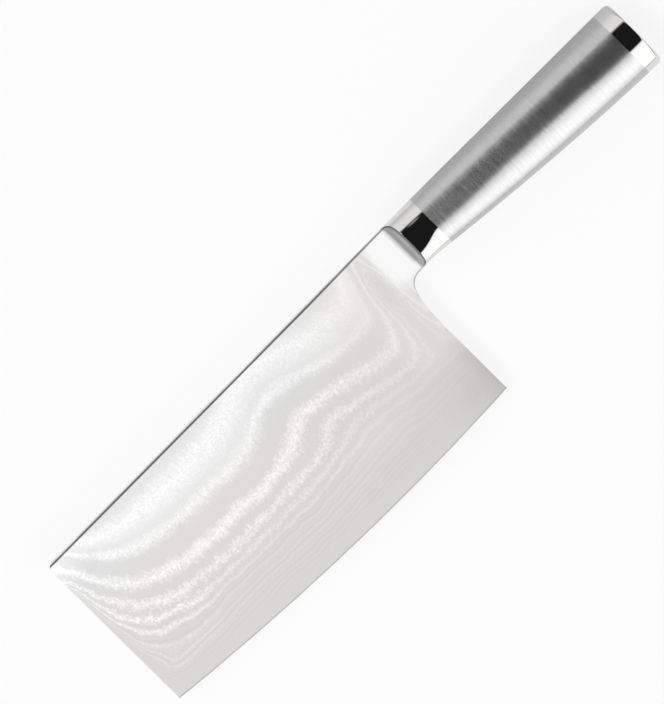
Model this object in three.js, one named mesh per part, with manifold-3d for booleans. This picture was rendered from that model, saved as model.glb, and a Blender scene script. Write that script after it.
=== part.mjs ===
// Vegetable cleaver with a laminated blade and a hollow metal handle, in millimetres.
// The knife lies on its right side: +X runs from the tip to the butt, +Y points to the spine and
// +Z comes out of the left side. The pieces are drawn with x = 0 at the tip, y = 0 on the spine line
// and z = 0 on the mid-plane of the blade, and the group then stands on its lowest line.

import * as THREE from "three";
import { mergeVertices, toCreasedNormals } from "three/addons/utils/BufferGeometryUtils.js";
import Module from "manifold-3d";

const wasm = await Module();
wasm.setup();

// Blade outline
const bladeLength = 178; // tip to the foot of the bolster's scoop
const heelSetback = 9.2; // foot of the scoop back to the heel
const weldInset = 1.3; // heel line to the weld of blade and bolster
const tipHeight = 70; // spine to edge at the tip
const heelHeight = 75.5; // spine to edge at the heel
const edgeSlopeTip = 0.11; // fall of the edge per millimetre, leaving the tip
const edgeSlopeHeel = -0.05; // the edge rises again towards the heel
const tipCornerRadius = 2.8;
const choilHeight = 42; // spine down to where the heel line starts to curve
const choilReach = 8.6; // pull of the curve along the neck
const choilDrop = 1; // pull of the curve down the heel
const choilLean = 0.8; // pull of the curve off the heel line
const choilSink = 0.05; // choil line above the neck's belly, so that the plate merges into it

// Blade section
const spineThickness = 2.2;
const spineRadius = 0.8; // eased corners of the spine
const coreThickness = 0.7;
const flatDepth = 28; // spine down to the start of the grind
const grindPower = 1.7; // 1 is a flat wedge, more is convex
const edgeShoulder = 0.4; // thickness where the sharpening bevel starts
const bevelHeight = 0.9;
const edgeThickness = 0.06;
const tipTaperLength = 16;
const tipTaper = 0.3; // share of the thickness lost at the tip

// Bolster
const scoopRadius = 7.2;
const scoopStart = 25; // degrees to the blade at the foot of the scoop
const scoopEnd = 75; // degrees at its crest
const neckLength = 11.4; // crest of the scoop to the sleeve
const neckDepth = 21.6; // spine line to the belly at the crest
const neckThickness = 11.6;
const neckBelly = 3.2; // squareness of the lower half at the crest, 2 is an ellipse

// Handle
const sleeveLength = 97;
const sleeveWall = 1.2;
const frontDepth = 22.5; // spine line to the belly where the sleeve starts
const frontThickness = 12.8;
const frontSlope = 0.117; // fall of the belly per millimetre there
const buttDepth = 30.7;
const buttThickness = 19.8;
const buttSlope = 0.03;
const backDrop = 0.95; // fall of the handle's back line from the neck to the butt
const crownShare = 0.455; // widest line, as a share of the depth below the back
const gripPower = 2.1; // squareness of the grip section

// End cap
const capLength = 7.5;
const capCornerRadius = 2;
const capDome = 0.5;
const capWall = 1.6;
const capEndWall = 2.2;

// Fits inside the handle
const tailLength = 8; // spigot of the bolster inside the sleeve
const capSpigotLength = 5;
const spigotClearance = 0.2;
const rodDiameter = 5;
const rodClearance = 0.15;
const rodDrop = 12.5; // spine line to the axis of the tang rod
const rodBite = 12; // depth of the rod's hole in the bolster's tail
const rodChamfer = 0.5;
const rodEndGap = 0.3;
const bossDiameter = 9;

// Fineness of the curved surfaces
const quarterSides = 10; // of a grip section
const rodSides = 24;
const roundSteps = 4; // in a corner or a fillet
const curveSteps = 12; // in a curve of an outline
const grindSteps = 5; // down the grind
const bladeSteps = 8; // along the blade
const neckSteps = 8;
const sleeveSteps = 12;
const creaseAngle = 30; // degrees, beyond which an edge shades sharp
const weldTolerance = 1e-6; // points closer than this are one point
const overshoot = 2; // how far a cutter or a blank runs past what it trims

// Finishes
const edgeSteel = { color: 0xd2d3d4, roughness: 0.3 };
const patternedSteel = { color: 0xdcdddd, roughness: 0.42 };
const polishedSteel = { color: 0xe2e3e4, roughness: 0.12 };
const brushedSteel = { color: 0xc9cacb, roughness: 0.36 };
const plainSteel = { color: 0xa9abad, roughness: 0.5 };

const radians = THREE.MathUtils.degToRad;

const heelX = bladeLength - heelSetback;
const weldX = heelX + weldInset;
const scoopLength = scoopRadius * (Math.sin(radians(scoopEnd)) - Math.sin(radians(scoopStart)));
const crestX = bladeLength + scoopLength;
const sleeveX = crestX + neckLength;
const tailX = sleeveX + tailLength;
const capX = sleeveX + sleeveLength;
const buttX = capX + capLength;

// Cubic through two heights with a set slope at each
function hermite(x, x0, y0, slope0, x1, y1, slope1) {
  const run = x1 - x0;
  const u = (x - x0) / run;
  const blend = u * u * (3 - 2 * u);
  const swing = u * (1 - u) * (slope0 * (1 - u) - slope1 * u);
  return y0 + (y1 - y0) * blend + run * swing;
}

// Skin over closed rings that all have the same number of points, with fans on the two end rings
function loft(rings) {
  const count = rings[0].length;
  const points = rings.flat();
  const index = [];
  for (let i = 0; i + 1 < rings.length; i++) {
    for (let j = 0; j < count; j++) {
      const a = i * count + j;
      const b = i * count + (j + 1) % count;
      index.push(a, b, a + count, b, b + count, a + count);
    }
  }
  const last = (rings.length - 1) * count;
  const centre = (ring) => ring.reduce((sum, p) => sum.add(p), new THREE.Vector3()).divideScalar(count);
  const front = points.push(centre(rings[0])) - 1;
  const rear = points.push(centre(rings.at(-1))) - 1;
  for (let j = 0; j < count; j++) {
    const k = (j + 1) % count;
    index.push(front, k, j, rear, last + j, last + k);
  }
  const geometry = new THREE.BufferGeometry().setFromPoints(points);
  return geometry.setIndex(index);
}

function solid(geometry) {
  geometry.deleteAttribute("normal");
  geometry.deleteAttribute("uv");
  const merged = mergeVertices(geometry, weldTolerance);
  const vertProperties = new Float32Array(merged.attributes.position.array);
  const triVerts = new Uint32Array(merged.index.array);
  return new wasm.Manifold(new wasm.Mesh({ numProp: 3, vertProperties, triVerts }));
}

function mesh(name, body, finish) {
  const { vertProperties, triVerts, numProp } = body.getMesh();
  const geometry = new THREE.BufferGeometry();
  const interleaved = new THREE.InterleavedBuffer(vertProperties, numProp);
  geometry.setAttribute("position", new THREE.InterleavedBufferAttribute(interleaved, 3, 0));
  geometry.setIndex(new THREE.BufferAttribute(triVerts, 1));
  const material = new THREE.MeshStandardMaterial({ ...finish, metalness: 1 });
  const piece = new THREE.Mesh(toCreasedNormals(geometry, radians(creaseAngle)), material);
  piece.name = name;
  return piece;
}

// Box between two planes across one axis, wide enough to trim any piece
function between(axis, low, high) {
  const reach = buttX + heelHeight;
  const from = { x: -reach, y: -reach, z: -reach, [axis]: low };
  const to = { x: reach, y: reach, z: reach, [axis]: high };
  const box = new THREE.BoxGeometry();
  const corner = box.attributes.position;
  const pick = (value, name) => (value > 0 ? to[name] : from[name]);
  for (let i = 0; i < corner.count; i++) {
    corner.setXYZ(i, pick(corner.getX(i), "x"), pick(corner.getY(i), "y"), pick(corner.getZ(i), "z"));
  }
  return solid(box);
}

// Cylinder along X
function rodShape(radius, low, high, chamfer = 0) {
  const profile = [
    new THREE.Vector2(0, low),
    new THREE.Vector2(radius - chamfer, low),
    new THREE.Vector2(radius, low + chamfer),
    new THREE.Vector2(radius, high - chamfer),
    new THREE.Vector2(radius - chamfer, high),
    new THREE.Vector2(0, high),
  ];
  const lathe = new THREE.LatheGeometry(profile, rodSides);
  return solid(lathe.rotateZ(-Math.PI / 2).translate(0, -rodDrop, 0));
}

// Depth of the cutting edge under the spine
function edgeDepth(x) {
  return hermite(x, 0, tipHeight, edgeSlopeTip, heelX, heelHeight, edgeSlopeHeel);
}

// Section of the ground blade, from the spine down the left side and back up the right
function bladeSection(x) {
  const fromTip = Math.min(Math.max(x / tipTaperLength, 0), 1);
  const thin = 1 - tipTaper * (1 - fromTip) ** 2;
  const half = spineThickness / 2;
  const bevelDepth = edgeDepth(x) - bevelHeight;
  const left = [];
  for (let i = 0; i <= roundSteps; i++) {
    const turn = (Math.PI / 2) * (i / roundSteps);
    left.push([spineRadius * (1 - Math.cos(turn)), half - spineRadius * (1 - Math.sin(turn))]);
  }
  for (let i = 0; i <= grindSteps; i++) {
    const fall = i / grindSteps;
    const depth = THREE.MathUtils.lerp(flatDepth, bevelDepth, fall);
    left.push([depth, THREE.MathUtils.lerp(half, edgeShoulder / 2, fall ** grindPower)]);
  }
  left.push([edgeDepth(x), edgeThickness / 2]);
  const right = left.map(([depth, z]) => [depth, -z]).reverse();
  return [...left, ...right].map(([depth, z]) => new THREE.Vector3(x, -depth, z * thin));
}

// The whole blade as ground, before its outline is cut
function groundBlade() {
  const stations = [-overshoot];
  for (let i = 0; i < roundSteps; i++) {
    stations.push(tipTaperLength * (i / roundSteps));
  }
  for (let i = 0; i <= bladeSteps; i++) {
    stations.push(THREE.MathUtils.lerp(tipTaperLength, crestX, i / bladeSteps));
  }
  return solid(loft(stations.map(bladeSection)));
}

// Plan of the blade with the choil curve, open below the edge, extruded between two heights
function bladeBlank(low, high) {
  const below = -(heelHeight + tipHeight);
  const neckLine = choilSink - neckDepth;
  const choilX = bladeLength + scoopLength / 2;
  const plan = new THREE.Shape();
  plan.moveTo(0, below);
  plan.lineTo(heelX, below);
  plan.lineTo(heelX, -choilHeight);
  plan.bezierCurveTo(
    heelX + choilLean, neckLine - choilDrop,
    choilX - choilReach, neckLine,
    choilX, neckLine,
  );
  plan.lineTo(crestX, neckLine);
  plan.lineTo(crestX, overshoot);
  plan.lineTo(tipCornerRadius, overshoot);
  plan.lineTo(tipCornerRadius, 0);
  plan.absarc(tipCornerRadius, -tipCornerRadius, tipCornerRadius, Math.PI / 2, Math.PI, false);
  plan.closePath();
  const options = { depth: high - low, bevelEnabled: false, curveSegments: curveSteps };
  return solid(new THREE.ExtrudeGeometry(plan, options).translate(0, 0, low));
}

// Section of the neck, sleeve and cap. An inset gives the surface that far inside.
function gripSection(x, inset = 0) {
  const alongNeck = Math.max(x, crestX);
  const alongGrip = Math.max((x - sleeveX) / (buttX - sleeveX), 0);
  const swell = (buttThickness - frontThickness) / (buttX - sleeveX);
  const onNeck = x < sleeveX;
  const depth = onNeck
    ? hermite(alongNeck, crestX, neckDepth, 0, sleeveX, frontDepth, frontSlope)
    : hermite(x, sleeveX, frontDepth, frontSlope, buttX, buttDepth, buttSlope);
  const thickness = onNeck
    ? hermite(alongNeck, crestX, neckThickness, 0, sleeveX, frontThickness, swell)
    : THREE.MathUtils.lerp(frontThickness, buttThickness, alongGrip);
  const belly = THREE.MathUtils.lerp(neckBelly, gripPower, THREE.MathUtils.smoothstep(x, crestX, sleeveX));
  const back = -backDrop * alongGrip;
  const crown = back - crownShare * (back + depth);
  const left = [];
  for (let i = 0; i <= 2 * quarterSides; i++) {
    const turn = (Math.PI / 2) * (i / quarterSides);
    const above = turn < Math.PI / 2;
    const power = 2 / (above ? gripPower : belly);
    const reach = (above ? back - crown : depth + crown) - inset;
    const rise = Math.sign(Math.cos(turn)) * Math.abs(Math.cos(turn)) ** power;
    const out = i === 2 * quarterSides ? 0 : Math.sin(turn) ** power;
    left.push([crown + reach * rise, (thickness / 2 - inset) * out]);
  }
  const right = left.slice(1, -1).map(([y, z]) => [y, -z]).reverse();
  return [...left, ...right].map(([y, z]) => new THREE.Vector3(x, y, z));
}

// Handle surface between two planes across X
function gripBody(low, high, steps, inset = 0) {
  const rings = [];
  for (let i = 0; i <= steps; i++) {
    rings.push(gripSection(THREE.MathUtils.lerp(low, high, i / steps), inset));
  }
  return solid(loft(rings));
}

// One layer of the laminated blade, trimmed at the weld to the bolster
function bladeLayer(low, high) {
  return bladeBlank(low, high).intersect(ground).intersect(between("x", -buttX, weldX));
}

// What a grinding wheel takes off one side of the neck: side is 1 on the left, -1 on the right
function scoop(side) {
  const foot = spineThickness / 2;
  const top = foot + neckThickness;
  const from = radians(scoopStart - 90);
  const to = radians(scoopEnd - 90);
  const wheelX = bladeLength - scoopRadius * Math.cos(from);
  const wheelZ = foot - scoopRadius * Math.sin(from);
  const crestZ = wheelZ + scoopRadius * Math.sin(to);
  const profile = new THREE.Shape();
  profile.moveTo(bladeLength - overshoot, foot);
  profile.lineTo(bladeLength, foot);
  profile.absarc(wheelX, wheelZ, scoopRadius, from, to, false);
  profile.lineTo(crestX + (top - crestZ) / Math.tan(radians(scoopEnd)), top);
  profile.lineTo(bladeLength - overshoot, top);
  profile.closePath();
  const depth = neckDepth + 2 * overshoot;
  const options = { depth, bevelEnabled: false, curveSegments: curveSteps };
  const cutter = new THREE.ExtrudeGeometry(profile, options).rotateX(side * Math.PI / 2);
  return solid(cutter.translate(0, side > 0 ? overshoot : overshoot - depth, 0));
}

function bolsterBody() {
  const plate = bladeBlank(-spineThickness, spineThickness).intersect(ground);
  const band = plate.intersect(between("x", weldX, buttX));
  const neck = gripBody(bladeLength, sleeveX, neckSteps).subtract(scoop(1)).subtract(scoop(-1));
  const tail = gripBody(sleeveX - overshoot, tailX, roundSteps, sleeveWall + spigotClearance);
  const hole = rodShape(rodDiameter / 2 + rodClearance, tailX - rodBite, tailX + overshoot);
  return band.add(neck).add(tail).subtract(hole);
}

function sleeveBody() {
  const outside = gripBody(sleeveX, capX, sleeveSteps);
  return outside.subtract(gripBody(sleeveX - overshoot, capX + overshoot, sleeveSteps, sleeveWall));
}

// Cap surface: straight side, rounded corner, then shallow dome
function capSkin() {
  const cornerX = buttX - capDome - capCornerRadius;
  const rings = [gripSection(capX)];
  for (let i = 0; i <= roundSteps; i++) {
    const turn = (Math.PI / 2) * (i / roundSteps);
    rings.push(gripSection(cornerX + capCornerRadius * Math.sin(turn), capCornerRadius * (1 - Math.cos(turn))));
  }
  const rim = rings.at(-1);
  const middle = new THREE.Vector3(0, (rim[0].y + rim[2 * quarterSides].y) / 2, 0);
  const flat = 1 / roundSteps;
  for (let i = 1; i < roundSteps; i++) {
    const share = 1 - i / roundSteps;
    const rise = capDome * (1 - share ** 2) / (1 - flat ** 2);
    rings.push(rim.map((p) => p.clone().lerp(middle, 1 - share).setX(buttX - capDome + rise)));
  }
  return solid(loft(rings));
}

function capBody() {
  const spigotX = capX - capSpigotLength;
  const floorX = buttX - capEndWall;
  const fit = sleeveWall + spigotClearance;
  const spigot = gripBody(spigotX, capX + overshoot, roundSteps, fit);
  const pocket = gripBody(spigotX - overshoot, floorX, roundSteps, fit + capWall);
  const boss = rodShape(bossDiameter / 2, spigotX, floorX + capEndWall / 2);
  const hole = rodShape(rodDiameter / 2 + rodClearance, spigotX - overshoot, floorX);
  return capSkin().add(spigot).subtract(pocket).add(boss).subtract(hole);
}

const ground = groundBlade();
const sleeve = sleeveBody();
const rod = rodShape(rodDiameter / 2, tailX - rodBite + rodEndGap, buttX - capEndWall - rodEndGap, rodChamfer);
const core = coreThickness / 2;

const cleaver = new THREE.Group();
cleaver.add(
  mesh("blade_core", bladeLayer(-core, core), edgeSteel),
  mesh("left_cladding", bladeLayer(core, spineThickness), patternedSteel),
  mesh("right_cladding", bladeLayer(-spineThickness, -core), patternedSteel),
  mesh("bolster", bolsterBody(), polishedSteel),
  mesh("left_handle_shell", sleeve.intersect(between("z", 0, buttX)), brushedSteel),
  mesh("right_handle_shell", sleeve.intersect(between("z", -buttX, 0)), brushedSteel),
  mesh("tang_rod", rod, plainSteel),
  mesh("end_cap", capBody(), polishedSteel),
);

// Origin under the middle of the knife, on the surface that it lies on
const box = new THREE.Box3().setFromObject(cleaver);
const middle = box.getCenter(new THREE.Vector3());
cleaver.position.set(-middle.x, -middle.y, -box.min.z);

export default cleaver;
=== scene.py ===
import math

import bmesh
import bpy
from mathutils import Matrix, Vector


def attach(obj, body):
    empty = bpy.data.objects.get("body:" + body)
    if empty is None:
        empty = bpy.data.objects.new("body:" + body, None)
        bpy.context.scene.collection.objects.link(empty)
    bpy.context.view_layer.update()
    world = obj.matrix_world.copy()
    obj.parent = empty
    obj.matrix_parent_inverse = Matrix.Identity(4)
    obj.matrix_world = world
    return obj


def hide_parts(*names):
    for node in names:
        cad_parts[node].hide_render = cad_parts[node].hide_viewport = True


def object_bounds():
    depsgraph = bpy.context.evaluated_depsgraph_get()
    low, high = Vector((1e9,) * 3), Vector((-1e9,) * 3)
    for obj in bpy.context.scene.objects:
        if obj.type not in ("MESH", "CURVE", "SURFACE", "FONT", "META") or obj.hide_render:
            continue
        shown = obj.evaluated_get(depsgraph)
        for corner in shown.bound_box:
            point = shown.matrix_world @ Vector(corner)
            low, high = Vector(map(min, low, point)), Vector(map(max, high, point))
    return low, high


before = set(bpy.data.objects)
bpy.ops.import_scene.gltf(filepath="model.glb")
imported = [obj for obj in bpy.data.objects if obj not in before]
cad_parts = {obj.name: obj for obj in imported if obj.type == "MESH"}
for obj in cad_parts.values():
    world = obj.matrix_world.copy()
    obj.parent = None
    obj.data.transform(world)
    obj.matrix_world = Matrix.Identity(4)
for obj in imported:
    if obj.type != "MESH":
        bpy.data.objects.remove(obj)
cadLow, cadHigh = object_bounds()
scene = bpy.context.scene
scene.view_settings.view_transform = "Standard"

mm = 0.001
tipX = cadLow.x  # the drawing's zero: tip, spine line and middle plane
spineY = cadHigh.y
middleZ = (cadLow.z + cadHigh.z) / 2
print("frame loaded, knife is", [round(side / mm, 1) for side in cadHigh - cadLow], "mm")


def place(x, y, z):
    return Vector((tipX + x * mm, spineY + y * mm, middleZ + z * mm))


def mix(a, b, share):
    return a + (b - a) * share


def clamp(value):
    return min(max(value, 0.0), 1.0)


def ease(value, low, high):
    u = clamp((value - low) / (high - low))
    return u * u * (3 - 2 * u)


# curve through two heights with a set slope at each
def sweep(x, x0, y0, slope0, x1, y1, slope1):
    run = x1 - x0
    u = (x - x0) / run
    return y0 + (y1 - y0) * u * u * (3 - 2 * u) + run * u * (1 - u) * (slope0 * (1 - u) - slope1 * u)


class Wire:
    # a shader socket that takes plain arithmetic

    def __init__(self, tree, socket=None):
        self.tree = tree
        self.socket = socket

    def node(self, kind, settings, sockets, output=0):
        made = self.tree.nodes.new(kind)
        for name, value in settings.items():
            if name == "stops":
                self.setStops(made.color_ramp, value)
            else:
                setattr(made, name, value)
        for name, value in sockets.items():
            if isinstance(value, Wire):
                self.tree.links.new(value.socket, made.inputs[name])
            else:
                made.inputs[name].default_value = value
        return Wire(self.tree, made.outputs[output] if made.outputs else None)

    def setStops(self, ramp, stops):
        while len(ramp.elements) < len(stops):
            ramp.elements.new(1.0)
        for element, (position, colour) in zip(ramp.elements, stops):
            element.position = position
            element.color = (*colour, 1.0)

    def output(self, name):
        return Wire(self.tree, self.socket.node.outputs[name])

    def run(self, operation, *values):
        return self.node("ShaderNodeMath", {"operation": operation}, dict(enumerate(values)))

    def __add__(self, other):
        return self.run("ADD", self, other)

    def __radd__(self, other):
        return self.run("ADD", other, self)

    def __sub__(self, other):
        return self.run("SUBTRACT", self, other)

    def __rsub__(self, other):
        return self.run("SUBTRACT", other, self)

    def __mul__(self, other):
        return self.run("MULTIPLY", self, other)

    def __rmul__(self, other):
        return self.run("MULTIPLY", other, self)

    def __truediv__(self, other):
        return self.run("DIVIDE", self, other)

    def __rtruediv__(self, other):
        return self.run("DIVIDE", other, self)

    def __pow__(self, other):
        return self.run("POWER", self, other)

    def __rpow__(self, other):
        return self.run("POWER", other, self)

    def __neg__(self):
        return self.run("MULTIPLY", self, -1.0)

    def __abs__(self):
        return self.run("ABSOLUTE", self)

    def exp(self):
        return self.run("EXPONENT", self)

    def sine(self):
        return self.run("SINE", self)

    def within(self, low, high):
        return self.node("ShaderNodeClamp", {}, {"Value": self, "Min": low, "Max": high})

    # a soft step: where it starts and ends, and the values there
    def between(self, low, high, start=0.0, end=1.0):
        settings = {"interpolation_type": "SMOOTHSTEP"}
        sockets = {"Value": self, "From Min": low, "From Max": high, "To Min": start, "To Max": end}
        return self.node("ShaderNodeMapRange", settings, sockets)

    def bell(self, centre, width):
        offset = (self - centre) / width
        return (-(offset * offset)).exp()

    def split(self):
        first = self.node("ShaderNodeSeparateXYZ", {}, {0: self})
        return first, first.output("Y"), first.output("Z")

    def stretch(self, factors):
        return self.node("ShaderNodeVectorMath", {"operation": "MULTIPLY"}, {0: self, 1: factors})

    def noise(self, scale, detail=2.0, roughness=0.5):
        sockets = {"Vector": self, "Scale": scale, "Detail": detail, "Roughness": roughness}
        return self.node("ShaderNodeTexNoise", {}, sockets)

    # noise about zero
    def grain(self, scale, detail=2.0, roughness=0.5):
        return self.noise(scale, detail, roughness) - 0.5

    # grain with its own scale on each axis, which draws it out into lines
    def brush(self, scales, detail, roughness):
        return self.stretch(scales).grain(1.0, detail, roughness)

    def attribute(self, name):
        return self.node("ShaderNodeAttribute", {"attribute_name": name}, {}, "Fac")

    # sockets 6 and 7 are the colours of a Mix node, output 2 its mixed colour
    def tint(self, dark, light):
        dark, light = (c if isinstance(c, Wire) else (*c, 1.0) for c in (dark, light))
        return self.node("ShaderNodeMix", {"data_type": "RGBA"}, {0: self, 6: dark, 7: light}, 2)

    def bump(self, strength, height):
        sockets = {"Strength": strength, "Distance": height, "Height": self}
        return self.node("ShaderNodeBump", {}, sockets, "Normal")


def grey(value):
    return (value, value, value)


warm = (1.0, 0.99, 0.973)  # cast of the blade's darker steel, of the polish and of the rod
rosy = (1.0, 0.987, 0.992)  # cast of the brushed steel


# an empty node tree for a material or a world
def clearDesk(owner):
    owner.use_nodes = True
    owner.node_tree.nodes.clear()
    return Wire(owner.node_tree)


def finish(name, paint):
    material = bpy.data.materials.new(name)
    desk = clearDesk(material)
    coords = desk.node("ShaderNodeTexCoord", {}, {}, "Object")
    shader = desk.node("ShaderNodeBsdfPrincipled", {}, paint(coords))
    desk.node("ShaderNodeOutputMaterial", {}, {"Surface": shader})
    return material


# camera square over the knife's left side, far off with a long lens
cameraSetup = {
    "lookAt": (-16.6, 18.9, 10.9),  # mm, in the frame
    "across": 248.6,  # mm that the picture's width takes in
    "distance": 6000,  # mm
    "turn": -45.36,  # degrees about the line of sight
    "sensor": 36,
    "clipEnd": 50,  # metres
}


def makeCamera():
    data = bpy.data.cameras.new("camera")
    data.sensor_fit = "HORIZONTAL"
    data.sensor_width = cameraSetup["sensor"]
    data.lens = cameraSetup["sensor"] * cameraSetup["distance"] / cameraSetup["across"]
    data.clip_end = cameraSetup["clipEnd"]
    camera = bpy.data.objects.new("camera", data)
    target = Vector(cameraSetup["lookAt"]) * mm
    camera.location = target + Vector((0, 0, cameraSetup["distance"] * mm))
    camera.rotation_euler = (0, 0, math.radians(cameraSetup["turn"]))
    scene.collection.objects.link(camera)
    scene.camera = camera


makeCamera()
print("camera placed")


# a tent of light cloth with an open slot over the knife, where the camera looks in
tent = {
    "slot": 0.012,  # brightness of the opening
    "slotEdge": (21.5, 24.5),  # degrees from overhead where the cloth on the edge side starts
    "slotSpine": (22, 29),  # and on the spine side
    "slotLength": (0.27, 0.47),  # how far towards the tip the slot runs, as a sine
    "slotCorner": (-20, 6.5, 0.2),  # its cut corner on the spine side: degrees, width, depth
    "edgeCloth": (1.2, 1.88, 1.3),  # brightness by the slot, half way down and by the table
    "edgeRise": (24, 46),  # degrees over which it grows brighter
    "edgeFall": (55, 86),  # and darker again
    "edgeHem": (87.5, 88.5, 1.0, 0.1),  # where it ends over the table
    "spineCloth": (0.95, 0.70),  # brightness above and by the table
    "spineFall": (45, 80),
    "tipCloth": (0.3, 3.4),  # brightness by the table and overhead
    "tipRise": (0.62, 0.85),  # heights between the two, as sines
    "buttShade": 0.4,
    "buttReach": (0.35, 0.6),  # where the shade starts towards the butt and ends upwards, as sines
}


def makeTent():
    world = bpy.data.worlds.new("tent")
    scene.world = world
    desk = clearDesk(world)
    along, across, up = desk.node("ShaderNodeTexCoord", {}, {}, "Generated").split()
    lean = desk.run("ARCTAN2", -across, up) * math.degrees(1)  # degrees from overhead to the edge side
    toSpine = -lean
    bySlot, halfWay, byTable = tent["edgeCloth"]
    edgeCloth = lean.between(*tent["edgeRise"], bySlot, halfWay)
    edgeCloth = edgeCloth * lean.between(*tent["edgeFall"], 1.0, byTable / halfWay)
    edgeCloth = edgeCloth * lean.between(*tent["slotEdge"]) * lean.between(*tent["edgeHem"])
    spineCloth = toSpine.between(*tent["spineFall"], *tent["spineCloth"])
    spineCloth = spineCloth * toSpine.between(*tent["slotSpine"])
    level = edgeCloth + spineCloth + tent["slot"]
    middle, width, cut = tent["slotCorner"]
    towardsTip = (lean.bell(middle, width) * cut - along).between(*tent["slotLength"])
    tipCloth = up.between(*tent["tipRise"], *tent["tipCloth"])
    level = level * (1 - towardsTip) + towardsTip * tipCloth
    lowByButt = along.between(*tent["buttReach"]) * up.between(*tent["buttReach"], 1.0, 0.0)
    level = level * (1 - lowByButt) + lowByButt * tent["buttShade"]
    seen = desk.node("ShaderNodeLightPath", {}, {}, "Is Camera Ray")
    level = level * (1 - seen) + seen  # plain white to the camera
    background = desk.node("ShaderNodeBackground", {}, {"Color": level, "Strength": 1.0})
    desk.node("ShaderNodeOutputWorld", {}, {"Surface": background})


makeTent()


# paper under the knife
floorSetup = {
    "size": 8.0,  # metres
    "paper": (0.93, 0.93, 0.93),
    "flecks": (900, 3),  # noise: scale and detail
    "fleckTone": 0.985,
    "white": (0.82, 1.0),  # share of the paper that shows as plain white, by the knife and far off
    "reach": (0.25, 1.5),  # metres from the middle between the two
    # painted shade: the paper behind the handle is darker, but only in the steel's reflections
    "mirrored": (0.74, 0.74, 0.74),  # the paper behind the handle as the steel shows it
    "paintedShadeX": (0.03, 0.06),  # metres where that starts, towards the butt
    "paintedShadeY": (0.025, 0.04),  # and behind the spine
}


def makePaper():
    material = bpy.data.materials.new("paper")
    desk = clearDesk(material)
    coords = desk.node("ShaderNodeTexCoord", {}, {}, "Object")
    path = desk.node("ShaderNodeLightPath", {}, {}, "Is Camera Ray")
    mirrored = path.output("Is Glossy Ray")
    x, y, _ = coords.split()
    # painted shade on the paper behind the handle, seen only in reflections
    behind = mirrored * y.between(*floorSetup["paintedShadeY"]) * x.between(*floorSetup["paintedShadeX"])
    fleck = tuple(c * floorSetup["fleckTone"] for c in floorSetup["paper"])
    paper = coords.noise(*floorSetup["flecks"]).tint(fleck, floorSetup["paper"])
    paper = behind.tint(paper, floorSetup["mirrored"])
    lit = desk.node("ShaderNodeBsdfDiffuse", {}, {"Color": paper})
    white = desk.node("ShaderNodeEmission", {}, {"Strength": 1.0})
    seen = desk.run("MAXIMUM", path, mirrored)
    seen = desk.run("MAXIMUM", seen, path.output("Is Transmission Ray"))
    away = desk.node("ShaderNodeVectorMath", {"operation": "LENGTH"}, {0: coords}, "Value")
    share = seen * (1 - behind) * away.between(*floorSetup["reach"], *floorSetup["white"])
    shader = desk.node("ShaderNodeMixShader", {}, {0: share, 1: lit, 2: white})
    desk.node("ShaderNodeOutputMaterial", {}, {"Surface": shader})
    return material


def makeFloor():
    bm = bmesh.new()
    bmesh.ops.create_grid(bm, x_segments=1, y_segments=1, size=floorSetup["size"] / 2)
    mesh = bpy.data.meshes.new("floor")
    bm.to_mesh(mesh)
    bm.free()
    mesh.materials.append(makePaper())
    floor = bpy.data.objects.new("floor", mesh)
    scene.collection.objects.link(floor)


makeFloor()
print("tent and floor made")


# soft lamp over the tip
lamp = {
    "at": (-0.175, 0.02, 0.45),  # metres
    "aim": (-0.05, 0.0, 0.01),
    "size": 0.20,
    "level": 2.45,  # brightness of its face
}


def makeLamp():
    data = bpy.data.lights.new("softLamp", "AREA")
    data.shape = "DISK"
    data.size = lamp["size"]
    data.energy = lamp["level"] * math.pi * math.pi * (lamp["size"] / 2) ** 2  # watts for that brightness
    made = bpy.data.objects.new("softLamp", data)
    made.location = lamp["at"]
    towards = Vector(lamp["aim"]) - Vector(lamp["at"])
    made.rotation_euler = towards.to_track_quat("-Z", "Y").to_euler()
    made.visible_camera = False
    scene.collection.objects.link(made)


makeLamp()
print("lamp placed")


# sizes of the pieces are in mm: lengths from the tip, depths down from the spine line.
# a soft change is given by where it starts and ends and, if it isn't from 0 to 1, its values there.
blade = {
    "heel": 168.8,
    "weld": 170.1,  # where it meets the bolster
    "tipHeight": 70,
    "heelHeight": 75.5,
    "edgeSlopes": (0.11, -0.05),  # fall of the cutting edge at the tip and at the heel
    "half": 1.1,  # half the spine's thickness
    "spineRadius": 0.8,
    "speck": (2300, 3, 0.7),  # noise of the etched steel: scale, detail, roughness
    "speckTone": 0.11,
    "bevel": (0.3, 0.9, 0.76, 1.0),  # shade of the sharpened bevel by the distance from the edge
    # painted shade: the heel's corner and end are made darker in the colour, where the light falls off
    "heelCornerShade": ((140, 172), (44, 70), 0.10),  # darker patches: along, depth, loss
    "heelEndShade": ((162, 169.5), (36, 62), 0.08),
}


def edgeDepth(along):
    atTip, atHeel = blade["edgeSlopes"]
    return sweep(along, 0, blade["tipHeight"], atTip, blade["heel"], blade["heelHeight"], atHeel)


# length from the tip and depth under the spine line at each point of a surface
def onKnife(coords):
    x, y, _ = coords.split()
    return (x - tipX) / mm, (spineY - y) / mm


# a patch with soft borders
def patch(along, depth, length, height, strength):
    return along.between(*length) * depth.between(*height) * strength


# painted shade: the blade darkens towards the corner of the heel
def paintedHeelShade(along, depth):
    corner = patch(along, depth, *blade["heelCornerShade"])
    end = patch(along, depth, *blade["heelEndShade"])
    return (1 - corner) * (1 - end)


# a line along the spine that starts and ends softly
def lineUnder(depth, start, end):
    return depth.between(*start) * depth.between(*end, 1.0, 0.0)


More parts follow.
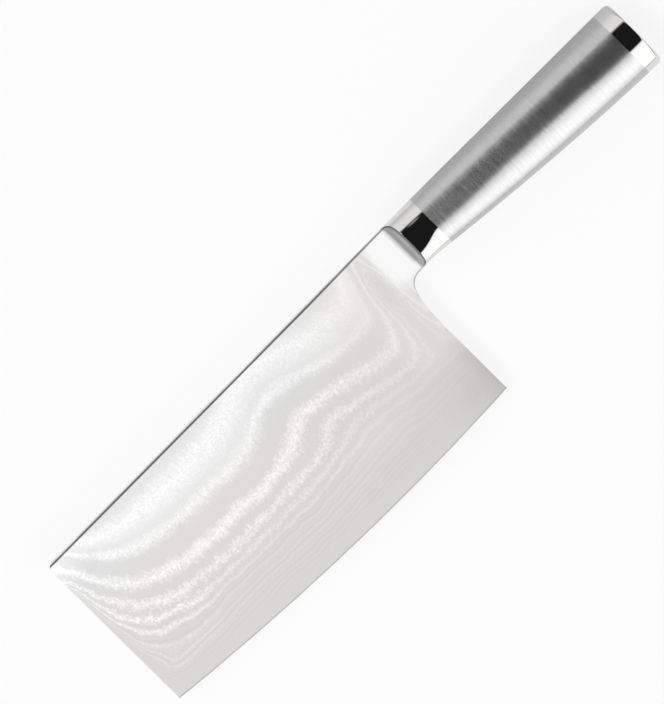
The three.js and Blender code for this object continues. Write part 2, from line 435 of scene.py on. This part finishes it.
# how the layers of the laminate rise from their level course
flow = {
    "tipRise": (38, 0.45, 2, 38),  # rise at the tip: at the spine, loss with depth, least and most
    "tipFade": (1.7, 0.018, 0.9, 1.6),  # power of its fade along the blade, in the same order
    "tipReach": (19.5, 25, 0.0132, 4.5, 20),  # length of that fade: most, its depth, curve, limits
    "tipEdge": (17, 1.5, 4, 18),  # last bend along the tip's end: rise, length, depths where it sets in
    "humpPlace": (88, -0.75, 103.5, 123),  # place of the rise in mid blade, in the order of tipRise
    "humpRise": (17, 0.25, 0.8, 9),
    "humpWidth": (4, 16, 21),  # half the stretch where the widths change, width before and behind
    "humpTail": (29, 8, 12),  # it is wider behind at one depth: that depth, its range, added width
    "bolster": (162.5, 36),  # rise by the bolster: along and height
    "bolsterShare": (1.45, 0.028, 0, 1),  # share of it by depth, in the order of tipRise
    "bolsterWidth": (1, 7.5, 5.2),
    "eye": (7, 3.2, 16, 8.5),  # closed loop by the bolster: rise, width, depth, height
}


# a value that changes evenly with depth between two limits
def evenly(depth, atSpine, loss, least, most):
    return (atSpine - depth * loss).within(least, most)


# a bell with its own width on either side
def lopsided(offset, turn, before, behind):
    offset = offset / offset.between(-turn, turn, before, behind)
    return (-(offset * offset)).exp()


# how far the layers have risen at a place on the blade
def layerRise(along, depth):
    fromTip = along.within(0, blade["weld"])
    most, middle, curve, low, high = flow["tipReach"]
    offset = depth - middle
    reach = (most - offset * offset * curve).within(low, high)
    fade = (fromTip / reach) ** evenly(depth, *flow["tipFade"])
    total = (-fade).exp() * evenly(depth, *flow["tipRise"])
    rise, reach, start, end = flow["tipEdge"]
    total += (fromTip / -reach).exp() * depth.between(start, end) * rise
    turn, before, behind = flow["humpWidth"]
    middle, width, added = flow["humpTail"]
    behind = behind + depth.bell(middle, width) * added
    offset = along - evenly(depth, *flow["humpPlace"])
    total += lopsided(offset, turn, before, behind) * evenly(depth, *flow["humpRise"])
    centre, rise = flow["bolster"]
    offset = along - centre
    total += lopsided(offset, *flow["bolsterWidth"]) * evenly(depth, *flow["bolsterShare"]) * rise
    rise, width, middle, height = flow["eye"]
    return total + along.bell(centre, width) * depth.bell(middle, height) * rise


# how the layers show on the etched steel
etch = {
    "span": 66,  # depth that a ramp takes in
    "sink": 0.9,  # all layers lie this much deeper than listed
    # ground: depth and brightness; partly the steel's own tone and partly painted shade, darker towards
    # the edge
    "ground": [
        (0, 0.84), (5, 0.86), (18, 0.86), (24, 0.805), (28, 0.79), (40, 0.775), (47, 0.76), (56, 0.745),
    ],
    # bright layers: start, brightest, end, strength at the tip, strength from mid blade on
    "layers": [
        (3.5, 9.8, 18.0, 0.6, 0.62), (18.6, 22.3, 26.4, 0.7, 0.58), (32.6, 36.4, 39.6, 0.85, 0.85),
        (42.0, 44.3, 46.4, 0.8, 0.65), (47.2, 49.1, 50.7, 0.9, 0.42), (51.4, 52.7, 54.0, 0.7, 0.3),
        (55.8, 57.0, 58.2, 0.4, 0.17), (58.7, 59.6, 60.5, 0.32, 0.14), (61.2, 62.1, 63.0, 0.28, 0.13),
    ],
    "lift": 0.19,  # brightness that a layer of strength 1 adds
    "tipShare": (18, 50, 1.0, 0.0),  # where the strengths of the tip give way
    "fade": (100, 160, 1.0, 0.45),  # all layers weaken towards the heel
    "meander": ((45, 2), 4.5),  # slow bends of the layers, and quick ones: noise and width
    "wobble": ((160, 3), 3.0),
    "calm": (54, 62, 1.0, 0.3),  # the quick ones die down over the edge
    "comb": (900, 4, 0.8),  # noise of the layers' ragged borders
    "combStretch": (1, 0.55, 1),
    "ragged": (45, 54, 10, 3),  # how far the borders wander
    "flake": (1250, 3, 0.75),  # noise that breaks the layers up
    "flakeTone": 4.5,
    "fineStep": 1.75,  # spacing of the fine lines over the edge
    "fineTone": (50, 56, 0.0, 0.014),
    "fineEnd": (4.6, 7.5),  # distance from the edge
    "fineFade": (105, 145, 1.0, 0.35),
    "patches": [  # brighter by the bolster and at the tip: along, depth, gain
        ((144, 158), (44, 58, 1.0, 0.0), 0.045),
        ((3, 15, 1.0, 0.0), (4, 15, 1.0, 0.0), 0.09),
    ],
    "midPatch": ((121, 15), (53, 5), 0.035),  # brighter in mid blade: centre and width each way, gain
    "bandStart": (164.8, 168.6),  # where the pattern fades into the bolster's plain band
    "bandRagged": 6,
    "bandLater": (0, 9, 1.5, 0.0),  # how much later it does so by the spine
    "bandDepth": (20.5, 26, 1.0, 0.0),
    "bandTone": (16, 22, 0.99, 0.90),
    "spineLine": ((0.4, 0.7), (1.15, 1.5)),  # dark line along the spine: depths where it starts and ends
    "spineLift": (135, 170, 0.0, 0.3),  # how much nearer to the spine it lies
    "spineLoss": (135, 170, 0.78, 0.6),
    "warmDepth": (14, 28),  # where the ground turns warm
    "warmAlong": (120, 155),
    "brightCool": 0.7,  # how much of that the bright layers lose
}


# brightness by depth
def depthRamp(level, tones):
    stops = [(depth / etch["span"], grey(tone)) for depth, tone in tones]
    return level.node("ShaderNodeValToRGB", {"stops": stops}, {"Fac": level / etch["span"]})


# one ramp that peaks in each bright layer, with the strengths of one column of the list
def layerTone(level, column):
    tones = []
    for layer in etch["layers"]:
        start, brightest, end = layer[:3]
        tones += [(start, 0.0), (brightest, layer[column]), (end, 0.0)]
    return depthRamp(level, tones)


# which layer is met at a place on the blade, as its listed depth
def layerAt(coords, along, depth):
    slow, slowWidth = etch["meander"]
    quick, quickWidth = etch["wobble"]
    level = depth + layerRise(along, depth) - etch["sink"]
    wobble = coords.grain(*quick) * quickWidth * level.between(*etch["calm"])
    return level + coords.grain(*slow) * slowWidth + wobble


def brightLayers(coords, along, border):
    flake = coords.grain(*etch["flake"])
    atTip = along.between(*etch["tipShare"])
    bright = layerTone(border, 3) * atTip + layerTone(border, 4) * (1 - atTip)
    return bright * (1 + flake * etch["flakeTone"]).within(0, 2) * along.between(*etch["fade"])


def fineLines(along, overEdge, level):
    lines = (level * (math.tau / etch["fineStep"])).sine() * level.between(*etch["fineTone"])
    return lines * overEdge.between(*etch["fineEnd"]) * along.between(*etch["fineFade"])


def patternedSteel(coords):
    along, depth = onKnife(coords)
    overEdge = edgeDepth(along) - depth
    level = layerAt(coords, along, depth)
    comb = coords.stretch(etch["combStretch"]).grain(*etch["comb"])
    speck = coords.grain(*blade["speck"])
    border = level + comb * level.between(*etch["ragged"])
    bright = brightLayers(coords, along, border)
    # the ground's ramp is partly painted shade, darker towards the edge
    tone = depthRamp(border, etch["ground"]) + bright * etch["lift"]
    tone = tone + fineLines(along, overEdge, level) + speck * blade["speckTone"]
    for brighter in etch["patches"]:
        tone += patch(along, depth, *brighter)
    midAlong, midDepth, gain = etch["midPatch"]
    tone += along.bell(*midAlong) * depth.bell(*midDepth) * gain
    toBand = along + comb * etch["bandRagged"] - depth.between(*etch["bandLater"])
    toBand = toBand.between(*etch["bandStart"]) * depth.between(*etch["bandDepth"])
    tone = tone * (1 - toBand) + toBand * depth.between(*etch["bandTone"])
    fromTop = depth + along.between(*etch["spineLift"])
    spineDark = lineUnder(fromTop, *etch["spineLine"]) * along.between(*etch["spineLoss"])
    # painted shade darkens the blade towards the heel's corner here
    value = tone * (1 - spineDark) * paintedHeelShade(along, depth) * overEdge.between(*blade["bevel"])
    warmth = (depth.between(*etch["warmDepth"]) + along.between(*etch["warmAlong"])).within(0, 1)
    warmth = warmth * (1 - bright * etch["brightCool"]) * (1 - toBand)
    return {
        "Base Color": value.tint(grey(0.0), warmth.tint(grey(1.0), warm)),
        "Metallic": 1.0,
        "Roughness": 0.70 - bright * 0.05 + speck * 0.08,
        "Normal": (bright + speck * 0.2).bump(0.1, 0.02 * mm),
    }


# the plain strip of the core along the edge
edgeStrip = {
    "tone": 0.745,
    "lines": ((300, 4200, 300), 4, 0.6),  # scale on each axis, detail, roughness
    "lineTone": 0.04,
}


def edgeSteel(coords):
    along, depth = onKnife(coords)
    lines = coords.brush(*edgeStrip["lines"])
    speck = coords.grain(*blade["speck"])
    bevel = (edgeDepth(along) - depth).between(*blade["bevel"])
    value = edgeStrip["tone"] + lines * edgeStrip["lineTone"] + speck * blade["speckTone"]
    return {
        # painted shade darkens the edge strip towards the heel's corner here
        "Base Color": (value * paintedHeelShade(along, depth) * bevel).tint(grey(0.0), warm),
        "Metallic": 1.0,
        "Roughness": 0.69 + lines * 0.1,
        "Normal": lines.bump(0.1, 0.01 * mm),
    }


# the rod inside the handle
rod = {
    "tone": 0.5,
    "grain": (700, 4),
}


def plainSteel(coords):
    grain = coords.grain(*rod["grain"])
    return {
        "Base Color": (rod["tone"] + grain * 0.1).tint(grey(0.0), warm),
        "Metallic": 1.0,
        "Roughness": 0.45 + grain * 0.2,
        "Normal": grain.bump(0.1, 0.02 * mm),
    }


def dress(material, *nodes):
    for node in nodes:
        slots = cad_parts[node].data.materials
        slots.clear()
        slots.append(material)


dress(finish("patternedSteel", patternedSteel), "left_cladding", "right_cladding")
dress(finish("edgeSteel", edgeSteel), "blade_core")
dress(finish("plainSteel", plainSteel), "tang_rod")
print("blade and rod finished")


# how the new skins are joined and shaded
skin = {
    "merge": 1e-4,  # points nearer than this become one
    "crease": 35,  # degrees beyond which an edge shades sharp
}


def ringEdges(bm, ring):
    return [bm.edges.get((ring[j - 1], ring[j])) for j in range(len(ring))]


# a closed ring of points is drawn out from section to section
def drawSkin(bm, sections, finishes):
    ring = bmesh.ops.create_circle(bm, segments=len(sections[0]), radius=mm)["verts"]
    for vert, point in zip(ring, sections[0]):
        vert.co = point
    rings = [ring]
    for section, index in zip(sections[1:], finishes):
        made = bmesh.ops.extrude_edge_only(bm, edges=ringEdges(bm, ring))["geom"]
        fresh = {part for part in made if isinstance(part, bmesh.types.BMVert)}
        ring = [next(e.other_vert(v) for e in v.link_edges if e.other_vert(v) in fresh) for v in ring]
        for vert, point in zip(ring, section):
            vert.co = point
        for part in made:
            if isinstance(part, bmesh.types.BMFace):
                part.material_index = index
        rings.append(ring)
    return rings


def closeEnds(bm, rings):
    for ring in (rings[0], rings[-1]):
        bmesh.ops.contextual_create(bm, geom=ringEdges(bm, ring))


def putTogether(bm, name, materials, nodes):
    bmesh.ops.remove_doubles(bm, verts=bm.verts, dist=skin["merge"] * mm)
    bmesh.ops.recalc_face_normals(bm, faces=bm.faces)
    for face in bm.faces:
        face.smooth = True
    crease = math.radians(skin["crease"])
    for edge in bm.edges:
        edge.smooth = len(edge.link_faces) == 2 and edge.calc_face_angle() < crease
    mesh = bpy.data.meshes.new(name)
    bm.to_mesh(mesh)
    bm.free()
    for material in materials:
        mesh.materials.append(material)
    piece = bpy.data.objects.new(name, mesh)
    scene.collection.objects.link(piece)
    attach(piece, "root")
    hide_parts(*nodes)
    print(name, len(mesh.polygons), "faces")
    return piece


bolster = {
    "foot": 178,  # where the scoop starts
    "radius": 7.2,  # of the wheel that cuts the scoop
    "arc": (25, 75),  # degrees of the wheel's arc at the foot and at the crest
    "leastArc": 2,  # degrees that the arc has at least
    "choilHeight": 42,  # depth where the heel line starts to curve
    "choilPull": (0.8, 1, 8.6),  # pull of that curve off the heel line, down it and along the neck
    "choilSink": 0.05,  # how far above the neck's belly it ends
    "choilEase": 0.5,  # rounding along the choil
    "crestEase": 0.14,  # and of the crest
    "crestSharp": 0.3,  # radians beyond which the crest is eased
    "ridge": 0.02,  # points this near to the middle plane stay there
    "bandSteps": 8,
    "scoopSteps": 10,
    "neckSteps": 28,
    "rim": 0.9,  # width of the dark line along the choil
    "rimTone": ((0.1, 0.8), 0.45),  # its soft border and its loss
    "spineLine": ((0.15, 0.4), (0.75, 1.1)),  # dark line along the spine
    "spineLoss": 0.6,
    "bandTone": (18.5, 22.5, 1.0, 0.92),  # by depth
    "scoopStart": (-0.11, 0.02),  # by the climb, which is 0 at the foot and 1 at the crest
    # painted shade: the scoop's colour darkens up towards its crest and is lighter lower down
    "scoopShade": (0.5, 1.0, 0.56, 0.145),
    "scoopShadeGain": (16, 21, 1.0, 1.3),  # by depth
    "roughness": (-0.2, 0.24, 0.72, 0.44),  # by the climb
    "grain": (3200, 3),
    "lines": ((4000, 260, 2600), 3, 0.6),
}
footAngle, topAngle = (math.radians(angle) for angle in bolster["arc"])


# place along the knife of an angle on the wheel's arc
def arcX(angle):
    return bolster["foot"] + bolster["radius"] * (math.sin(angle) - math.sin(footAngle))


# section of the neck, the sleeve and the cap
grip = {
    "neckLength": 11.4,
    "sleeveLength": 97,
    "capLength": 7.5,
    "neck": (21.6, 11.6),  # depth and thickness at the crest of the scoop
    "front": (22.5, 12.8),  # and where the sleeve starts
    "frontSlope": 0.117,
    "end": (30.7, 19.684),  # a little thinner than the solids are drawn, to stay inside their box
    "endSlope": 0.03,
    "backDrop": 0.95,
    "crown": 0.455,  # widest line, as a share of the depth
    "power": 2.1,  # squareness of the section, 2 is an ellipse
    "neckBelly": 3.2,  # squareness of the lower half at the crest
    "sides": 128,
    "join": 1e-6,  # the neck's last section is taken this much before the sleeve
}
crestX = arcX(topAngle)
sleeveX = crestX + grip["neckLength"]
capX = sleeveX + grip["sleeveLength"]
buttX = capX + grip["capLength"]
turns = [math.tau * j / grip["sides"] for j in range(grip["sides"])]


def gripPoint(x, turn, inset=0.0):
    neckDepth, neckThick = grip["neck"]
    frontDepth, frontThick = grip["front"]
    endDepth, endThick = grip["end"]
    share = max((x - sleeveX) / (buttX - sleeveX), 0)
    if x < sleeveX:
        onNeck = max(x, crestX)
        swell = (endThick - frontThick) / (buttX - sleeveX)
        depth = sweep(onNeck, crestX, neckDepth, 0, sleeveX, frontDepth, grip["frontSlope"])
        thick = sweep(onNeck, crestX, neckThick, 0, sleeveX, frontThick, swell)
    else:
        depth = sweep(x, sleeveX, frontDepth, grip["frontSlope"], buttX, endDepth, grip["endSlope"])
        thick = mix(frontThick, endThick, share)
    belly = mix(grip["neckBelly"], grip["power"], ease(x, crestX, sleeveX))
    back = -grip["backDrop"] * share
    crown = back - grip["crown"] * (back + depth)
    rise = math.cos(turn)
    out = math.sin(turn)
    power = 2 / (grip["power"] if rise > 0 else belly)
    reach = (back - crown if rise > 0 else depth + crown) - inset
    y = crown + reach * math.copysign(abs(rise) ** power, rise)
    z = (thick / 2 - inset) * math.copysign(abs(out) ** power, out)
    return y, z


def gripRing(x, inset=0.0):
    return [place(x, *gripPoint(x, turn, inset)) for turn in turns]


def gripRun(low, high, steps):
    return [gripRing(mix(low, high, k / steps)) for k in range(steps + 1)]


# depth of the choil curve under the spine at a place along the band
def choilDepth(x):
    offHeel, downHeel, alongNeck = bolster["choilPull"]
    neckLine = grip["neck"][0] - bolster["choilSink"]
    endX = (bolster["foot"] + crestX) / 2
    lengths = (blade["heel"], blade["heel"] + offHeel, endX - alongNeck, endX)
    depths = (bolster["choilHeight"], neckLine + downHeel, neckLine, neckLine)

    def curve(u, points):
        a, b, c, d = points
        return a * (1 - u) ** 3 + 3 * b * u * (1 - u) ** 2 + 3 * c * u * u * (1 - u) + d * u ** 3

    low, high = 0.0, 1.0
    for _ in range(40):  # halvings
        middle = (low + high) / 2
        if curve(middle, lengths) < x:
            low = middle
        else:
            high = middle
    return curve(low, depths)


# what a rounded corner takes off at a distance from its end
def rounded(distance, radius):
    if distance >= radius:
        return 0.0
    return radius - math.sqrt(radius * radius - (radius - distance) ** 2)


def bandRing(x):
    floorDepth = choilDepth(x)
    ring = []
    for turn in turns:
        y, z = gripPoint(crestX, turn)
        depth = clamp(-y / grip["neck"][0]) * floorDepth
        half = blade["half"] - rounded(depth, blade["spineRadius"])
        half -= rounded(floorDepth - depth, bolster["choilEase"])
        if abs(z) < bolster["ridge"]:
            half = min(half, abs(z))
        ring.append(place(x, -depth, math.copysign(half, z)))
    return ring


# angle at which the wheel's arc comes out of the neck's side
def crestAngle(z):
    lift = (abs(z) - blade["half"]) / bolster["radius"]
    angle = math.acos(clamp(math.cos(footAngle) - max(lift, 0)))
    return max(angle, footAngle + math.radians(bolster["leastArc"]))


def scoopRing(share):
    ring = []
    for turn, foot in zip(turns, bandRing(bolster["foot"])):
        y, z = gripPoint(crestX, turn)
        angle = mix(footAngle, crestAngle(z), share)
        if abs(z) < blade["half"]:
            half = mix(abs(foot.z - middleZ) / mm, abs(z), share)
        else:
            half = blade["half"] + bolster["radius"] * (math.cos(footAngle) - math.cos(angle))
        ring.append(place(arcX(angle), mix((foot.y - spineY) / mm, y, share), math.copysign(half, z)))
    return ring


def neckRing(share):
    ring = []
    for turn in turns:
        crest = arcX(crestAngle(gripPoint(crestX, turn)[1]))
        x = mix(crest, sleeveX, share)
        ring.append(place(x, *gripPoint(min(x, sleeveX - grip["join"]), turn)))
    return ring


# satin on the flat band; painted shade makes the scoop darker up to its crest
def shoulderSteel(coords):
    _, depth = onKnife(coords)
    grain = coords.grain(*bolster["grain"])
    lines = coords.brush(*bolster["lines"])
    climb = coords.attribute("climb")
    onScoop = climb.between(*bolster["scoopStart"])
    # painted shade on the scoop, darker towards the crest
    scoopShaded = climb.between(*bolster["scoopShade"]) * depth.between(*bolster["scoopShadeGain"])
    value = depth.between(*bolster["bandTone"]) * (1 - onScoop) + scoopShaded * onScoop
    spineDark = lineUnder(depth, *bolster["spineLine"]) * bolster["spineLoss"]
    border, loss = bolster["rimTone"]
    rim = coords.attribute("rim").between(*border) * loss
    value = (value + grain * 0.02 + lines * 0.03) * (1 - spineDark) * (1 - rim)
    return {
        "Base Color": value.tint(grey(0.0), grey(1.0)),
        "Metallic": 1.0,
        "Roughness": climb.between(*bolster["roughness"]) + grain * 0.1,
        "Normal": (grain + lines).bump(0.08, 0.01 * mm),
    }


# polish of the neck and the cap
polish = {
    "tone": 0.73,
    "haze": (90, 3),
    "hair": (1800, 200, 400),  # fine marks: scale on each axis
    "hairNoise": (1.0, 4, 0.7),
    "scratch": (0.66, 0.74),  # the strongest of the marks
}


def mirrorSteel(coords):
    haze = coords.grain(*polish["haze"])
    hair = coords.stretch(polish["hair"]).noise(*polish["hairNoise"])
    scratch = hair.between(*polish["scratch"])
    return {
        "Base Color": (polish["tone"] + haze * 0.02 - scratch * 0.03).tint(grey(0.0), warm),
        "Metallic": 1.0,
        "Roughness": 0.05 + haze * 0.02 + scratch * 0.03,
        "Normal": hair.bump(0.02, 0.005 * mm),
    }


shoulder = finish("shoulderSteel", shoulderSteel)
mirror = finish("mirrorSteel", mirrorSteel)


def makeBolster():
    bm = bmesh.new()
    bandSteps, scoopSteps, neckSteps = bolster["bandSteps"], bolster["scoopSteps"], bolster["neckSteps"]
    sections = [bandRing(mix(blade["weld"], bolster["foot"], k / bandSteps)) for k in range(bandSteps + 1)]
    sections += [scoopRing(k / scoopSteps) for k in range(1, scoopSteps + 1)]
    sections += [neckRing(k / neckSteps) for k in range(1, neckSteps + 1)]
    finishes = [0] * (bandSteps + scoopSteps) + [1] * neckSteps
    climb = bm.verts.layers.float.new("climb")
    rim = bm.verts.layers.float.new("rim")
    rings = drawSkin(bm, sections, finishes)
    for k, ring in enumerate(rings):
        lowest = min(vert.co.y for vert in ring)
        for vert in ring:
            vert[climb] = (k - bandSteps) / scoopSteps
            vert[rim] = clamp(1 - (vert.co.y - lowest) / mm / bolster["rim"]) if k <= bandSteps else 0.0
    closeEnds(bm, rings)
    crest = ringEdges(bm, rings[bandSteps + scoopSteps])
    sharp = [edge for edge in crest if edge.calc_face_angle(0) > bolster["crestSharp"]]
    eased = bmesh.ops.bevel(bm, geom=sharp, offset=bolster["crestEase"] * mm, segments=3, profile=0.5,
                            affect="EDGES", material=-1)
    for face in eased["faces"]:
        face.material_index = 0
    putTogether(bm, "polishedBolster", (shoulder, mirror), ["bolster"])


makeBolster()


sleeve = {
    "steps": 72,
    "wall": 1.2,
    "tone": 0.54,
    "coarse": ((1700, 110, 90), 2, 0.6),  # brush marks: scale on each axis, detail, roughness
    "fine": ((3900, 240, 210), 2, 0.6),
    "markTone": (0.9, 0.985, 0.19, 0.75),  # stronger on the broad sides
    "half": (0.0335, -0.08),  # about half the thickness: growth along the knife, and start
    "roughness": (0.262, 0.222),  # at the front and at the end
    "bellyLine": (194.7, 14.8, 0.0525),  # line down the broad sides: along, depth there, fall
    "bellyRound": (-4.5, 5.5, 0, -0.28),  # bump across that line, which shades the belly rounder
    "bellyStart": (200, 236),
    "bellyEnd": (258, 286, 1, 0),
    "shineCentre": (0, -50, 0),  # so far off that the shine is drawn out along the handle
}


def brushedSteel(coords):
    along, depth = onKnife(coords)
    _, _, z = coords.split()
    marks = coords.brush(*sleeve["coarse"]) * 0.5 + coords.brush(*sleeve["fine"]) * 0.5
    growth, start = sleeve["half"]
    out = abs(z - middleZ) / mm / (along * growth + start)  # 1 on the broad sides
    value = sleeve["tone"] + marks * out.between(*sleeve["markTone"])
    lineAlong, lineDepth, fall = sleeve["bellyLine"]
    below = depth - lineDepth - (along - lineAlong) * fall
    rounder = below.between(*sleeve["bellyRound"])
    rounder = rounder * along.between(*sleeve["bellyStart"]) * along.between(*sleeve["bellyEnd"])
    return {
        "Base Color": value.tint(grey(0.0), rosy),
        "Metallic": 1.0,
        "Roughness": along.between(sleeveX, capX, *sleeve["roughness"]) + marks * 0.05,
        "Anisotropic": 0.33,
        "Normal": (marks * 0.0005 + rounder).bump(1.0, mm),
    }


brushed = finish("brushedSteel", brushedSteel)


def makeSleeve():
    bm = bmesh.new()
    sections = gripRun(sleeveX, capX, sleeve["steps"])
    sections += [gripRing(x, sleeve["wall"]) for x in (capX, sleeveX)]
    rings = drawSkin(bm, sections, [0] * len(sections))
    bmesh.ops.bridge_loops(bm, edges=ringEdges(bm, rings[-1]) + ringEdges(bm, rings[0]))
    piece = putTogether(bm, "brushedSleeve", (brushed,),
                        ["left_handle_shell", "right_handle_shell"])
    piece.data.use_auto_texspace = False
    piece.data.texspace_location = sleeve["shineCentre"]
    piece.data.texspace_size = (1, 1, 1)


makeSleeve()


cap = {
    "corner": (2, 0.35),  # radius on the narrow sides and on the broad ones
    "cornerPower": 1.5,  # how fast one becomes the other
    "dome": 0.5,
    "sideSteps": 8,
    "cornerSteps": 10,
    "domeSteps": 12,
}


# one ring of the rounded corner, from the side of the cap to its end
def cornerRing(rimX, share):
    narrow, broad = cap["corner"]
    angle = math.pi / 2 * share
    ring = []
    for turn in turns:
        radius = mix(broad, narrow, abs(math.cos(turn)) ** cap["cornerPower"])
        x = rimX - radius * (1 - math.sin(angle))
        ring.append(place(x, *gripPoint(x, turn, radius * (1 - math.cos(angle)))))
    return ring


def makeCap():
    bm = bmesh.new()
    rimX = buttX - cap["dome"]
    sections = gripRun(capX, rimX - cap["corner"][0], cap["sideSteps"])[:-1]
    sections += [cornerRing(rimX, k / cap["cornerSteps"]) for k in range(cap["cornerSteps"] + 1)]
    rim = sections[-1]
    centre = (rim[0] + rim[len(rim) // 2]) / 2
    for k in range(1, cap["domeSteps"]):
        share = 1 - k / cap["domeSteps"]
        lift = Vector((cap["dome"] * mm * (1 - share * share), 0, 0))
        sections.append([centre + (point - centre) * share + lift for point in rim])
    rings = drawSkin(bm, sections, [0] * len(sections))
    closeEnds(bm, rings)
    putTogether(bm, "polishedCap", (mirror,), ["end_cap"])


makeCap()
